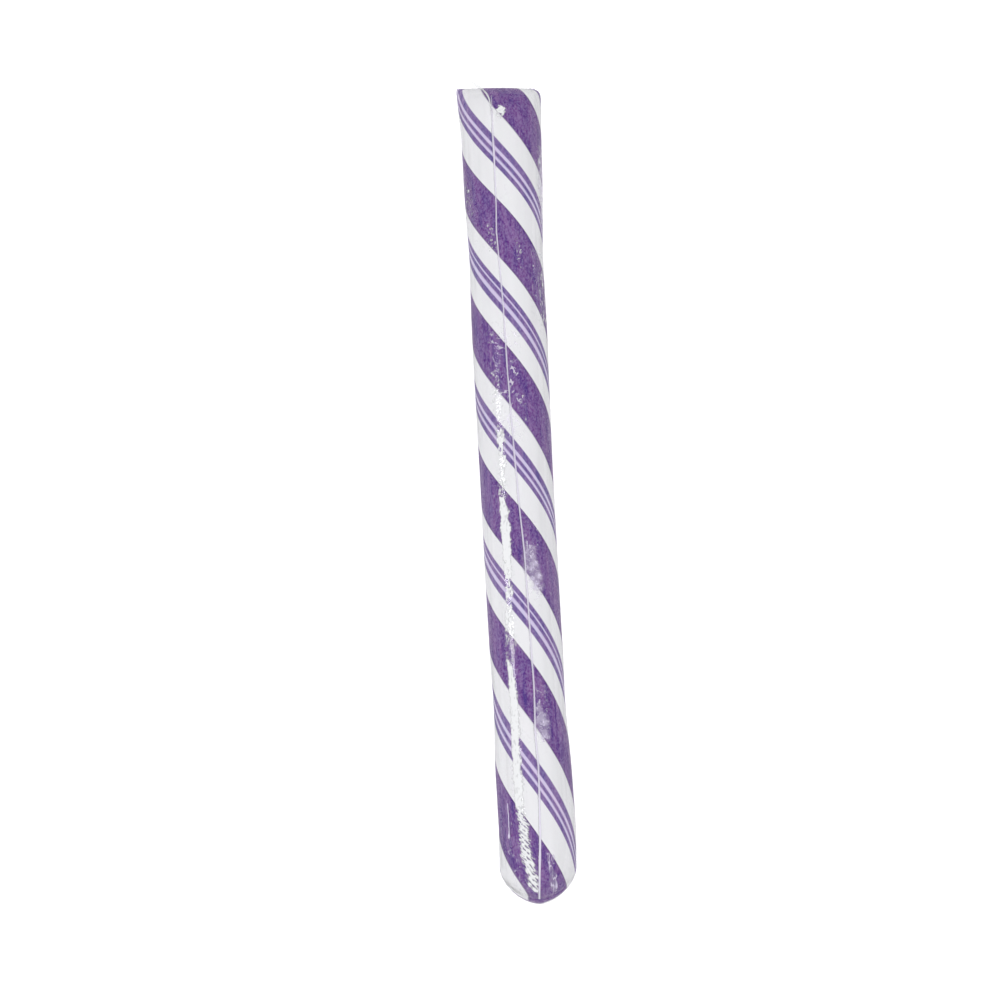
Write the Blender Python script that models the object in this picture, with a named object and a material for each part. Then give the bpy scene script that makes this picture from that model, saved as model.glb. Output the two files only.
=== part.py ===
"""Hard candy stick in a tight clear wrapper, lying on its side.

A warm rope of pulled sugar is striped, twisted, rolled out and nipped off at both ends, from above
and below. The nip leaves a low edge: straight across at the head, where the rope spreads, and round
at the foot. The wrapper is shrunk on to the sugar, so one solid stands for both.

Sizes are in millimetres and degrees, and the scene is in metres. X runs along the stick with the
head at +X, Y is its left side seen from above with the head up, and it rests on the plane Z = 0.
"""
import math

import bmesh
import bpy
import numpy
from mathutils import Matrix, Vector

MM = 0.001

# The rope, by (distance from the foot, size).
LENGTH = 133.35
WIDTHS = (
    (0.0, 12.2),
    (9.5, 12.3),
    (19.5, 12.2),
    (33.0, 11.45),
    (41.0, 11.7),
    (64.0, 11.7),
    (94.0, 12.05),
    (104.0, 11.85),
    (119.0, 12.7),
    (124.0, 12.85),
    (LENGTH, 13.5),
)
HEIGHTS = (
    (0.0, 12.4),
    (10.0, 12.4),
    (33.0, 11.5),
    (64.0, 11.7),
    (94.0, 12.0),
    (106.0, 11.9),
    (119.0, 12.4),
    (LENGTH, 12.0),
)
BOW = 0.55  # how far the middle bends to the left of the ends
FLAT_DEPTH = 0.14  # how much of the round the cooling table pressed flat under each swelling

# The nipped ends. A share is how much of the rope's size is left at the end itself.
FOOT_NIP = 6.5  # length over which the foot is squeezed down
FOOT_EDGE = 2.6  # thickness left at the edge
FOOT_ROUND_DEPTH = 5.7  # how far the edge's two sides fall back
FOOT_ROUND_SQUARENESS = 1.7  # 2 is part of an ellipse, and less is more pointed
FOOT_EASE = 12.0  # length over which the rings straighten out
FOOT_LEAN = 0.3  # how far the round edge lies to the left
HEAD_NIP = 7.5
HEAD_EDGE = 1.6
HEAD_RIGHT_CORNER = (1.4, 0.87)  # length of the rounded corner, and share
HEAD_LEFT_CORNER = (0.3, 0.99)
HEAD_FALL = 0.6  # how far the head's right corner lies behind its left one
HEAD_EASE = 8.0
HEAD_LEAN = 0.22
NIP_ROUNDNESS = 2.2  # 2 is an ellipse, and more is fuller

# The twist, by (distance from the foot, degrees turned in each millimetre).
TURN_RATES = (
    (0.0, 7.5),
    (6.0, 6.0),
    (15.0, 6.0),
    (30.0, 6.4),
    (45.0, 7.05),
    (60.0, 7.55),
    (75.0, 7.15),
    (90.0, 7.05),
    (105.0, 7.65),
    (113.0, 7.85),
    (120.0, 7.65),
    (128.0, 6.95),
    (LENGTH, 4.4),
)
FIRST_STRIPE = 27.2  # from the top line to the first stripe's edge at half length

# The stripes once round the rope, from the top line towards the left side.
WIDE, LINE, GROUND = "wide purple stripe", "thin purple line", "white sugar"
STRIPES = (
    (WIDE, 74.7),
    (GROUND, 32.5),
    (LINE, 8.4),
    (GROUND, 3.5),
    (LINE, 7.3),
    (GROUND, 6.8),
    (LINE, 9.0),
    (GROUND, 34.2),
    (WIDE, 69.6),
    (GROUND, 35.9),
    (LINE, 10.8),
    (GROUND, 5.8),
    (LINE, 6.7),
    (GROUND, 5.0),
    (LINE, 8.2),
    (GROUND, 41.6),
)
WIDEST_PANEL = 11.5  # a stripe wider than this is made of several panels

# Rings of corners along the rope.
NIP_RINGS = 9
MIDDLE_RINGS = 76
SETTLING_STEPS = 20  # steps in which a stripe and a curved ring are made to meet

WHITE_SUGAR = (0.83, 0.82, 0.84, 1.0)
PURPLE_SUGAR = (0.17, 0.09, 0.28, 1.0)


def clear_scene():
    for thing in list(bpy.data.objects):
        bpy.data.objects.remove(thing, do_unlink=True)


def sugar(name, colour):
    """Pulled sugar under clear film: glossy, with no metal in it."""
    material = bpy.data.materials.new(name)
    material.use_nodes = True
    finish = material.node_tree.nodes["Principled BSDF"]
    finish.inputs["Base Color"].default_value = colour
    finish.inputs["Roughness"].default_value = 0.2
    finish.inputs["Metallic"].default_value = 0.0
    return material


def size_at(sizes, place):
    """The size at a place along the stick, eased from each named size to the next."""
    for (start, first), (end, last) in zip(sizes, sizes[1:]):
        if place <= end:
            share = (place - start) / (end - start)
            return first + (last - first) * share * share * (3.0 - 2.0 * share)
    return sizes[-1][1]


def turned(place):
    """Degrees that the rope has turned between the foot and a place along it."""
    total = 0.0
    for (start, first), (end, last) in zip(TURN_RATES, TURN_RATES[1:]):
        run = min(place, end) - start
        if run > 0.0:
            rate = first + (last - first) * run / (end - start)
            total += (first + rate) / 2.0 * run
    return total


def nipped(distance, nip, share):
    """Share of the full height left at a distance from an edge that is squeezed down to a share."""
    if distance >= nip:
        return 1.0
    inside = 1.0 - distance / nip
    return share + (1.0 - share) * (1.0 - inside**NIP_ROUNDNESS) ** (1.0 / NIP_ROUNDNESS)


def panel_edges():
    """Angles of the panels' edges from the first stripe's edge, each with its panel's stripe."""
    edges = []
    angle = 0.0
    for stripe, width in STRIPES:
        panels = math.ceil(width / WIDEST_PANEL)
        for panel in range(panels):
            edges.append((angle + width * panel / panels, stripe))
        angle += width
    return edges


def ring_places():
    """Distances of the rings from the foot, closer together where the ends are squeezed."""
    steps = [1.0 - math.cos(math.pi / 2.0 * ring / NIP_RINGS) for ring in range(NIP_RINGS)]
    foot = [FOOT_NIP * step for step in steps]
    head = [LENGTH - HEAD_NIP * step for step in reversed(steps)]
    run = LENGTH - FOOT_NIP - HEAD_NIP
    middle = [FOOT_NIP + run * ring / MIDDLE_RINGS for ring in range(MIDDLE_RINGS + 1)]
    return foot + middle + head


def along_stick(place, side):
    """Where a ring crosses a line along the stick; side runs from -1, right, to 1, left."""
    foot = max(0.0, 1.0 - place / FOOT_EASE)
    head = max(0.0, 1.0 - (LENGTH - place) / HEAD_EASE)
    square = FOOT_ROUND_SQUARENESS
    round_edge = 1.0 - (1.0 - min(1.0, abs(side)) ** square) ** (1.0 / square)
    return place + foot * FOOT_ROUND_DEPTH * round_edge - head * HEAD_FALL * (1.0 - side) / 2.0


def head_height(place):
    return size_at(HEIGHTS, place) * nipped(LENGTH - place, HEAD_NIP, HEAD_EDGE / HEIGHTS[-1][1])


def squeezed_angles(place):
    """Angles round the rope, and where each lies on a squeezed ring: the skin keeps its length."""
    on_ring = numpy.arange(361.0)
    across = size_at(WIDTHS, place) * numpy.cos(numpy.radians(on_ring))
    upright = head_height(place) * numpy.sin(numpy.radians(on_ring))
    skin = numpy.hypot(across, upright)
    round_rope = numpy.concatenate(([0.0], numpy.cumsum(skin[1:] + skin[:-1])))
    return round_rope * 360.0 / round_rope[-1], on_ring


def stripe_angles(edges, place):
    """The angles, from the top line towards the left, where the stripes' edges meet a ring."""
    round_rope, on_ring = squeezed_angles(place)
    angles = []
    for edge, _ in edges:
        angle = edge
        for _ in range(SETTLING_STEPS):
            along = along_stick(place, math.sin(math.radians(angle)))
            angle = edge + FIRST_STRIPE + turned(along) - turned(LENGTH / 2.0)
            angle = numpy.interp(angle % 360.0, round_rope, on_ring)
        angles.append(angle)
    return angles


def surface_point(place, angle):
    """A point on the rope's skin, before the table presses its flats."""
    side = math.sin(math.radians(angle))
    up = math.cos(math.radians(angle))
    corner = HEAD_LEFT_CORNER if side > 0.0 else HEAD_RIGHT_CORNER
    half_width = size_at(WIDTHS, place) / 2.0 * nipped(LENGTH - place, *corner)
    half_height = head_height(place) / 2.0 * nipped(place, FOOT_NIP, FOOT_EDGE / HEIGHTS[0][1])
    along = along_stick(place, side) - LENGTH / 2.0
    bend = BOW * (1.0 - (along / (LENGTH / 2.0)) ** 2)
    lean = FOOT_LEAN * max(0.0, 1.0 - place / FOOT_EASE)
    lean += HEAD_LEAN * max(0.0, 1.0 - (LENGTH - place) / HEAD_EASE)
    floor_gap = max(size for _, size in HEIGHTS) / 2.0 - FLAT_DEPTH
    return Vector((along, bend + lean + half_width * side, floor_gap + half_height * up)) * MM


def close_end(mesh, ring, colours):
    """Closes a nipped edge from its right to its left side, and carries the stripes round it."""
    colour_left_of = dict(zip(ring, colours))
    across = sorted(ring, key=lambda corner: corner.co.y)
    height = sum(corner.co.z for corner in ring) / len(ring)
    upper = lower = across[0]
    for corner in across[1:]:
        if upper is not lower:
            face = mesh.faces.new((upper, lower, corner))
            face.material_index = colour_left_of[upper]
        if corner.co.z > height:
            upper = corner
        else:
            lower = corner


def wrapped_stick(materials):
    """The rope as rings of corners that follow the twist, so that stripes are rows of panels."""
    edges = panel_edges()
    colours = [0 if stripe == GROUND else 1 for _, stripe in edges]
    mesh = bmesh.new()
    rings = []
    for place in ring_places():
        corners = [surface_point(place, angle) for angle in stripe_angles(edges, place)]
        rings.append([mesh.verts.new(corner) for corner in corners])
    for ring, following in zip(rings, rings[1:]):
        for panel, colour in enumerate(colours):
            beside = (panel + 1) % len(edges)
            # Cut each panel along the stick's length, which keeps the skin round.
            lower = mesh.faces.new((ring[panel], ring[beside], following[panel]))
            upper = mesh.faces.new((ring[beside], following[beside], following[panel]))
            lower.material_index = upper.material_index = colour
    close_end(mesh, rings[0], colours)
    close_end(mesh, rings[-1], colours)
    bmesh.ops.recalc_face_normals(mesh, faces=mesh.faces)

    data = bpy.data.meshes.new("wrapped_candy_stick")
    mesh.to_mesh(data)
    mesh.free()
    for material in materials:
        data.materials.append(material)
    data.shade_smooth()
    data.set_sharp_from_angle(angle=math.radians(40.0))
    stick = bpy.data.objects.new("wrapped_candy_stick", data)
    bpy.context.scene.collection.objects.link(stick)
    centre_over_origin(stick)
    return stick


def centre_over_origin(stick):
    """Puts the middle of the stick's length and width over the origin."""
    corners = [vertex.co for vertex in stick.data.vertices]
    for axis in (0, 1):
        low = min(corner[axis] for corner in corners)
        high = max(corner[axis] for corner in corners)
        for corner in corners:
            corner[axis] -= (low + high) / 2.0


def press_flat(stick, finish):
    """The cooling table: cuts the small flats that the stick rests on."""
    thickness = 4.0 * MM
    bpy.ops.mesh.primitive_cube_add(size=1.0)
    table = bpy.context.object
    table.name = "cooling_table"
    size = Matrix.Diagonal((2.0 * LENGTH * MM, LENGTH * MM, thickness, 1.0))
    table.data.transform(Matrix.Translation((0.0, 0.0, -thickness / 2.0)) @ size)
    table.data.materials.append(finish)
    table.hide_render = True
    table.display_type = "WIRE"
    cut = stick.modifiers.new("pressed flat", "BOOLEAN")
    cut.operation = "DIFFERENCE"
    cut.solver = "EXACT"
    cut.object = table


def build():
    clear_scene()
    white = sugar("white_pulled_sugar", WHITE_SUGAR)
    purple = sugar("purple_pulled_sugar", PURPLE_SUGAR)
    stick = wrapped_stick((white, purple))
    press_flat(stick, white)


build()
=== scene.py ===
"""A hard candy stick in tight clear film: striped pulled sugar, the shrunk film, and a plain studio.

Sizes are in millimetres and degrees unless a name says otherwise, and the scene is in metres. X runs
along the stick with the head at +X. Round the stick, angles start at the top line and grow to the
left, which is +Y. A place is a distance from the foot.
"""
import math

import bmesh
import bpy
import numpy as np
from mathutils import Matrix, Vector, noise


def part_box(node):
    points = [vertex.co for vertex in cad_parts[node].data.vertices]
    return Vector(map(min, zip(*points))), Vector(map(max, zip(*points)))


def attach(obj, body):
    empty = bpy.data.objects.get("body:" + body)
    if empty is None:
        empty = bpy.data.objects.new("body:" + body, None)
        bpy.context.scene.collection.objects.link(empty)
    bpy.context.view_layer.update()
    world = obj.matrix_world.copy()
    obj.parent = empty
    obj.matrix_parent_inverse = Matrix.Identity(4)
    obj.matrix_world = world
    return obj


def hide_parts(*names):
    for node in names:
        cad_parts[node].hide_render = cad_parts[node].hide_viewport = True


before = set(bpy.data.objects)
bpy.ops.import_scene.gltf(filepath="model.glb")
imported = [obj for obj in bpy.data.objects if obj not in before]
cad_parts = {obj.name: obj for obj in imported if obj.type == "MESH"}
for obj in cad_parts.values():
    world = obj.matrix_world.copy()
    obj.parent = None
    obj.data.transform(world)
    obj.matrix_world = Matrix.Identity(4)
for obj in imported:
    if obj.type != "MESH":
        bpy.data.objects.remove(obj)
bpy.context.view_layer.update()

MM = 0.001
NODE = "wrapped_candy_stick"

# The rope, by (place, size).
LENGTH = 133.35
WIDTHS = (
    (0.0, 12.2),
    (9.5, 12.3),
    (19.5, 12.2),
    (33.0, 11.45),
    (41.0, 11.7),
    (64.0, 11.7),
    (94.0, 12.05),
    (104.0, 11.85),
    (119.0, 12.7),
    (124.0, 12.85),
    (LENGTH, 13.5),
)
HEIGHTS = (
    (0.0, 12.4),
    (10.0, 12.4),
    (33.0, 11.5),
    (64.0, 11.7),
    (94.0, 12.0),
    (106.0, 11.9),
    (119.0, 12.4),
    (LENGTH, 12.0),
)
BOW = 0.55
FLAT_DEPTH = 0.14
FOOT_NIP = 6.5
FOOT_EDGE = 2.6
FOOT_ROUND_DEPTH = 5.7
FOOT_ROUND_SQUARENESS = 1.7
FOOT_EASE = 12.0
FOOT_LEAN = 0.3
HEAD_NIP = 7.5
HEAD_EDGE = 1.6
HEAD_RIGHT_CORNER = (1.4, 0.87)
HEAD_LEFT_CORNER = (0.3, 0.99)
HEAD_FALL = 0.6
HEAD_EASE = 8.0
HEAD_LEAN = 0.22
NIP_ROUNDNESS = 2.2

# The twist, by (place, degrees turned in each millimetre).
TURN_RATES = (
    (0.0, 7.5),
    (6.0, 6.0),
    (15.0, 6.0),
    (30.0, 6.4),
    (45.0, 7.05),
    (60.0, 7.55),
    (75.0, 7.15),
    (90.0, 7.05),
    (105.0, 7.65),
    (113.0, 7.85),
    (120.0, 7.65),
    (128.0, 6.95),
    (LENGTH, 4.4),
)
FIRST_STRIPE = 27.2

# The stripes once round the rope, from the top line towards the left side.
WIDE, LINE, GAP, WHITE = "wide stripe", "thin line", "gap between lines", "white sugar"
STRIPES = (
    (WIDE, 74.7),
    (WHITE, 32.5),
    (LINE, 8.4),
    (GAP, 3.5),
    (LINE, 7.3),
    (GAP, 6.8),
    (LINE, 9.0),
    (WHITE, 34.2),
    (WIDE, 69.6),
    (WHITE, 35.9),
    (LINE, 10.8),
    (GAP, 5.8),
    (LINE, 6.7),
    (GAP, 5.0),
    (LINE, 8.2),
    (WHITE, 41.6),
)
STRIPE_COLOURS = {WIDE: "#58217A", LINE: "#644689", GAP: "#C9BFDB", WHITE: "#E0E0E3"}
CRYSTAL_COLOUR = (0.62, 0.56, 0.8)
EDGE_BLUR = 0.5  # degrees over which one stripe runs into the next
EDGE_WAVER = 0.0035  # turns by which the stripes' edges waver
DRAWN_OUT = 0.16  # how fast a pattern changes along the twist, against across it
SKIN_RADIUS = 6.0  # for arcs and patterns round the stick, which need no closer size

# How finely the sugar and the film are meshed.
SUGAR_ROWS, SUGAR_COLUMNS = 400, 128
FILM_ROWS, FILM_COLUMNS = 470, 176
NIP_ROWS = 22
EDGE_ROWS = 5
EDGE_BULGE = 0.3  # how far the nipped edges round out

# The film.
FILM_GAP = 0.06
SEAM_WIDTHS = ((0.0, 0.5), (6.0, 0.62), (14.0, 0.5), (85.0, 0.4), (115.0, 0.38), (121.0, 0.5), (LENGTH, 0.4))
# How white the seam is along the stick, partly its doubled film and partly painted highlight.
SEAM_MILK_AND_HIGHLIGHT = ((0.0, 0.85), (10.0, 0.85), (20.0, 0.7), (110.0, 0.66), (121.0, 0.8), (126.0, 0.5), (LENGTH, 0.2))
SEAM_PATH = (
    (0.02, 0.2),
    (10.0, -0.33),
    (20.5, -0.67),
    (25.0, -0.52),
    (33.0, -0.79),
    (39.5, -0.68),
    (45.0, -0.64),
    (55.0, -0.52),
    (65.0, 0.0),
    (76.5, 0.41),
    (84.5, 0.67),
    (96.0, 0.87),
    (108.0, 1.43),
    (115.0, 1.3),
    (121.0, 1.34),
    (125.0, 1.43),
    (131.0, 1.25),
)

# Patches where the film stands off the sugar and is painted white, by place, its left and right
# edges left of the middle, and how thick the patch is.
# Painted highlight: the strip light's reflection in the crinkled film along the foot half, painted as a white
# band.
PAINTED_HIGHLIGHT_BAND = (
    (13.8, 3.2, 2.33, 1.0),
    (14.4, 3.3, 2.13, 1.0),
    (15.4, 3.4, 1.84, 0.95),
    (17.9, 3.4, 1.83, 0.95),
    (24.8, 3.35, 1.99, 0.9),
    (26.9, 3.24, 1.77, 1.0),
    (31.3, 3.15, 1.8, 1.0),
    (33.0, 3.23, 1.85, 1.0),
    (36.6, 3.2, 2.33, 1.0),
    (38.0, 3.2, 2.84, 0.9),
    (38.7, 3.3, 2.35, 0.0),
    (41.8, 3.23, 1.96, 0.0),
    (42.8, 3.25, 2.06, 0.45),
    (45.8, 3.05, 1.9, 0.75),
    (46.8, 3.01, 1.87, 0.4),
    (49.0, 2.95, 1.5, 0.65),
    (51.3, 2.79, 1.63, 0.45),
    (52.7, 2.85, 1.66, 0.85),
    (56.4, 2.91, 1.45, 1.0),
    (57.9, 3.1, 1.4, 1.0),
    (62.0, 3.0, 1.55, 1.0),
    (64.5, 3.0, 2.1, 1.0),
    (65.0, 3.0, 2.26, 0.1),
    (65.8, 2.95, 2.23, 0.1),
    (67.1, 2.93, 1.74, 0.5),
    (72.3, 2.77, 1.5, 0.5),
    (74.3, 3.0, 1.57, 0.85),
    (75.6, 2.94, 1.67, 0.6),
    (76.6, 2.73, 1.62, 0.0),
)
# Painted highlight: the light's reflection in the gathered film near the foot, painted as white slanted
# folds.
FOOT_FEATHER = (
    (0.4, 0.71, 0.08, 0.3),
    (0.9, 1.24, 0.13, 0.9),
    (1.7, 2.03, 0.19, 1.0),
    (3.0, 2.03, 0.44, 1.0),
    (5.5, 2.69, 0.98, 1.0),
    (7.0, 2.8, 1.34, 1.0),
    (11.1, 2.91, 1.52, 1.0),
    (12.5, 3.05, 1.99, 1.0),
    (14.4, 3.25, 2.13, 1.0),
)
# Painted highlight: a small mottled highlight right of the middle near the foot, painted pale lavender.
FOOT_LACE = (
    (0.2, -1.98, -2.46, 0.6),
    (0.7, -1.83, -2.78, 1.0),
    (2.0, -1.59, -2.78, 1.0),
    (3.5, -1.43, -2.46, 1.0),
    (5.0, -1.35, -2.3, 0.9),
    (6.3, -1.22, -2.02, 0.5),
)
FOOT_THREAD = (
    (8.6, 4.56, 4.44, 0.7),
    (9.0, 4.65, 4.35, 1.0),
    (9.4, 4.64, 4.36, 1.0),
    (10.2, 4.56, 4.42, 1.0),
    (15.2, 4.55, 4.43, 0.8),
)
# Painted glints: the lamps' glints on curled creases near the foot, painted white.
FOOT_CURLS = ((0.6, 2.6, 1.5, 0.5), (2.8, 4.3, 2.6, 0.6), (7.8, 4.9, 3.3, 0.5), (11.9, 5.0, 3.7, 0.4))
# Painted sheen: the weak reflection of a light on the right, painted as a pale lavender wash right of the
# middle.
LOW_PAINTED_SHEEN = (
    (24.4, -1.7, -2.6, 0.6),
    (26.2, -1.2, -2.7, 1.0),
    (27.8, -0.95, -2.6, 1.0),
    (29.4, -0.9, -2.1, 1.0),
    (30.9, -0.9, -1.5, 0.6),
)
# Painted sheen, as above.
MIDDLE_PAINTED_SHEEN = (
    (48.4, -2.2, -3.1, 0.6),
    (50.0, -1.7, -3.1, 1.0),
    (52.6, -0.7, -2.8, 1.0),
    (55.0, -0.5, -2.1, 1.0),
    (57.2, -0.6, -1.7, 0.5),
)
# Painted glints: the curls and streaks below paint in white the lamps' glints on curled creases of the film.
LOW_CURLS = ((37.2, 3.4, 2.3, 0.8), (39.2, 3.4, 1.9, 1.0), (40.8, 3.3, 1.6, 1.0), (43.2, 3.2, 1.9, 0.8))
MIDDLE_CURLS = ((64.4, 3.0, 2.0, 0.7), (66.1, 2.95, 1.9, 1.0), (67.8, 2.9, 1.8, 0.6))
HIGH_CURLS = ((74.3, 3.1, 1.4, 1.0), (78.1, 3.1, 1.8, 0.7), (83.2, 3.3, 1.8, 1.0), (87.1, 3.4, 2.2, 0.6))
UPPER_CURLS = ((104.8, 2.6, 1.4, 0.8), (107.6, 3.0, 1.4, 1.1), (110.4, 2.8, 1.5, 0.8))
UPPER_RIGHT_CURLS = ((101.6, -1.8, -2.5, 0.5), (105.0, -1.6, -2.5, 0.8), (108.0, -1.5, -2.3, 0.5))
RIGHT_CURLS = ((75.2, -1.7, -2.3, 0.35), (78.2, -1.5, -2.2, 0.7), (81.4, -1.3, -1.9, 0.4))
LEFT_RIM_CURLS = ((111.5, 6.1, 5.1, 0.5), (114.4, 6.15, 5.1, 0.9), (118.4, 6.15, 5.2, 0.5))
RIGHT_RIM_STREAKS = ((93.0, -5.1, -6.0, 0.8), (98.5, -5.0, -5.9, 1.1), (103.0, -5.0, -5.8, 0.8))
# Painted sheen: the film's reflection seen edge on along the right rim near the head, painted pale.
HEAD_RIM_PAINTED_SHEEN = ((110.0, -5.7, -6.1, 0.6), (116.0, -5.6, -6.2, 0.85), (123.0, -5.8, -6.3, 0.6))
PATCH_STEP = 0.1  # how finely a patch is meshed along the stick
PATCH_PITCH = 0.07  # and round it
PATCH_MARGIN = 0.35  # how far a patch's mesh runs past its edges, as a share of its width
SLASH_PITCH = 0.6

# The film's folded end at the head, by place, distance left of the middle and height, then the wisp
# by how far it is past the last of them along, to the left and up.
FOLD_ON_STICK = ((127.5, 1.36, 0.03), (130.2, 1.55, 0.1), (131.6, 2.0, 0.12), (133.2, 3.0, 0.1))
WISP_PAST_HEAD = ((0.45, 0.75, 0.25), (1.1, 1.5, 0.5))
FOLD_WIDTHS = (0.1, 0.42, 0.5, 0.4, 0.08)
CRUMPLE_PLACE = (128.1, -0.05)
CRUMPLE_LENGTH = 3.0
CRUMPLE_WIDTH = 2.2


# ---------------------------------------------------------------- the rope's form

def eased(sizes, place):
    """Sizes at places, eased from each named size to the next."""
    stations = np.array([station for station, _ in sizes])
    values = np.array([value for _, value in sizes])
    index = np.clip(np.searchsorted(stations, place) - 1, 0, len(sizes) - 2)
    share = (place - stations[index]) / (stations[index + 1] - stations[index])
    share = np.clip(share, 0.0, 1.0)
    step = share * share * (3.0 - 2.0 * share)
    return values[index] + (values[index + 1] - values[index]) * step


def turned(place):
    """Degrees that the rope has turned between the foot and each place."""
    grid = np.linspace(0.0, LENGTH, 2001)
    rates = np.interp(grid, *zip(*TURN_RATES))
    total = np.concatenate(([0.0], np.cumsum((rates[1:] + rates[:-1]) / 2.0 * np.diff(grid))))
    return np.interp(place, grid, total)


def nipped(distance, nip, share):
    """How much of the full size is left at a distance from an end that is nipped down to a share."""
    depth = np.clip(1.0 - distance / nip, 0.0, 1.0)
    return share + (1.0 - share) * (1.0 - depth**NIP_ROUNDNESS) ** (1.0 / NIP_ROUNDNESS)


def head_height(place):
    return eased(HEIGHTS, place) * nipped(LENGTH - place, HEAD_NIP, HEAD_EDGE / HEIGHTS[-1][1])


def along_stick(place, side):
    """Where a ring crosses a line along the stick; side runs from -1, right, to 1, left."""
    foot = np.clip(1.0 - place / FOOT_EASE, 0.0, 1.0)
    head = np.clip(1.0 - (LENGTH - place) / HEAD_EASE, 0.0, 1.0)
    square = FOOT_ROUND_SQUARENESS
    round_edge = 1.0 - (1.0 - np.minimum(1.0, np.abs(side)) ** square) ** (1.0 / square)
    return place + foot * FOOT_ROUND_DEPTH * round_edge - head * HEAD_FALL * (1.0 - side) / 2.0


def skin_points(place, angle, squash=1.0, push=0.0):
    """Points on the rope's skin, in millimetres, centred over the origin as the solid is."""
    side = np.sin(np.radians(angle))
    up = np.cos(np.radians(angle))
    left = nipped(LENGTH - place, *HEAD_LEFT_CORNER)
    right = nipped(LENGTH - place, *HEAD_RIGHT_CORNER)
    half_width = eased(WIDTHS, place) / 2.0 * np.where(side > 0.0, left, right)
    half_height = head_height(place) / 2.0 * squash
    half_height = half_height * nipped(place, FOOT_NIP, FOOT_EDGE / HEIGHTS[0][1])
    along = along_stick(place, side) - LENGTH / 2.0
    bend = BOW * (1.0 - (along / (LENGTH / 2.0)) ** 2)
    lean = FOOT_LEAN * np.clip(1.0 - place / FOOT_EASE, 0.0, 1.0)
    lean = lean + HEAD_LEAN * np.clip(1.0 - (LENGTH - place) / HEAD_EASE, 0.0, 1.0)
    middle = max(size for _, size in HEIGHTS) / 2.0 - FLAT_DEPTH
    flat = bend + lean + half_width * side
    return np.stack(np.broadcast_arrays(along + push, flat, middle + half_height * up), axis=-1)


def to_the_solid():
    """How far the form is moved sideways to lie where the solid lies."""
    low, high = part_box(NODE)
    points = skin_points(np.linspace(0.0, LENGTH, 300)[:, None], np.arange(360.0)[None, :])
    middle = (points.min(axis=(0, 1)) + points.max(axis=(0, 1))) / 2.0
    along = (low[0] + high[0]) / 2.0 / MM - middle[0]
    across = (low[1] + high[1]) / 2.0 / MM - middle[1]
    return np.array([along, across, 0.0])


def normals_of(points):
    """Unit normals of a grid of points that closes on itself round the stick."""
    along = np.gradient(points, axis=0)
    around = np.roll(points, -1, axis=1) - np.roll(points, 1, axis=1)
    normal = np.cross(around, along)
    length = np.linalg.norm(normal, axis=-1, keepdims=True)
    normal = normal / np.maximum(length, 1e-9)
    centre = points.mean(axis=1, keepdims=True)
    outward = np.sum(normal * (points - centre), axis=-1).mean()
    return normal if outward > 0.0 else -normal


def rows_along(count):
    """Places of the rows from end to end, each with its squash and push at the rounded edges."""
    swing = np.radians(np.linspace(84.0, 12.0, EDGE_ROWS))
    nip = 1.0 - np.cos(np.linspace(0.0, math.pi / 2.0, NIP_ROWS, endpoint=False))
    run = np.linspace(FOOT_NIP, LENGTH - HEAD_NIP, count - 2 * NIP_ROWS - 2 * EDGE_ROWS)
    level = np.ones(len(run) + 2 * NIP_ROWS)
    place = np.concatenate(
        (np.zeros(EDGE_ROWS), FOOT_NIP * nip, run, LENGTH - HEAD_NIP * nip[::-1], np.full(EDGE_ROWS, LENGTH))
    )
    squash = np.concatenate((np.cos(swing), level, np.cos(swing[::-1])))
    push = EDGE_BULGE * np.concatenate((-np.sin(swing), 0.0 * level, np.sin(swing[::-1])))
    return place[:, None], squash[:, None], push[:, None]


def stripe_angles(place, angle):
    """Each point's angle on the untwisted rope, where the skin keeps its length as it is squeezed."""
    across = eased(WIDTHS, place) * np.cos(np.radians(angle))
    upright = head_height(place) * np.sin(np.radians(angle))
    skin = np.hypot(across, upright)
    steps = np.cumsum(skin, axis=1) - (skin + skin[:, :1]) / 2.0
    round_rope = steps * 360.0 / skin.sum(axis=1, keepdims=True)
    along = along_stick(place, np.sin(np.radians(angle)))
    return round_rope - FIRST_STRIPE - turned(along) + turned(LENGTH / 2.0)


def wave_noise(points, scale, seed):
    """Smooth noise from about -1 to 1 at each point, for a pattern of a size in millimetres."""
    flat = points.reshape(-1, 3) / np.asarray(scale) + 17.3 * seed
    values = [noise.noise(Vector(point)) for point in flat]
    return np.array(values).reshape(points.shape[:-1])


# ---------------------------------------------------------------- meshes

def tube(name, points, details=None):
    """A closed tube through a grid of points, shut at both ends from side to side."""
    rows, columns = points.shape[:2]
    faces = []
    for row in range(rows - 1):
        for column in range(columns):
            beside = (column + 1) % columns
            start = row * columns
            above = start + columns
            faces.append((start + column, start + beside, above + beside, above + column))
    half = columns // 2
    for start in (0, (rows - 1) * columns):
        for column in range(columns // 4, columns // 4 + half):
            across = (half - column) % columns
            beside = (half - column - 1) % columns
            corners = [start + column, start + column + 1, start + beside, start + across]
            corners = list(dict.fromkeys(corners))
            faces.append(corners if start else corners[::-1])
    mesh = bpy.data.meshes.new(name)
    mesh.from_pydata((points.reshape(-1, 3) * MM).tolist(), [], faces)
    for detail, values in (details or {}).items():
        kind = "FLOAT_VECTOR" if values.shape[-1] == 3 and values.ndim == 3 else "FLOAT"
        attribute = mesh.attributes.new(detail, kind, "POINT")
        attribute.data.foreach_set("vector" if kind == "FLOAT_VECTOR" else "value", values.ravel())
    return finished(name, mesh)


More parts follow.
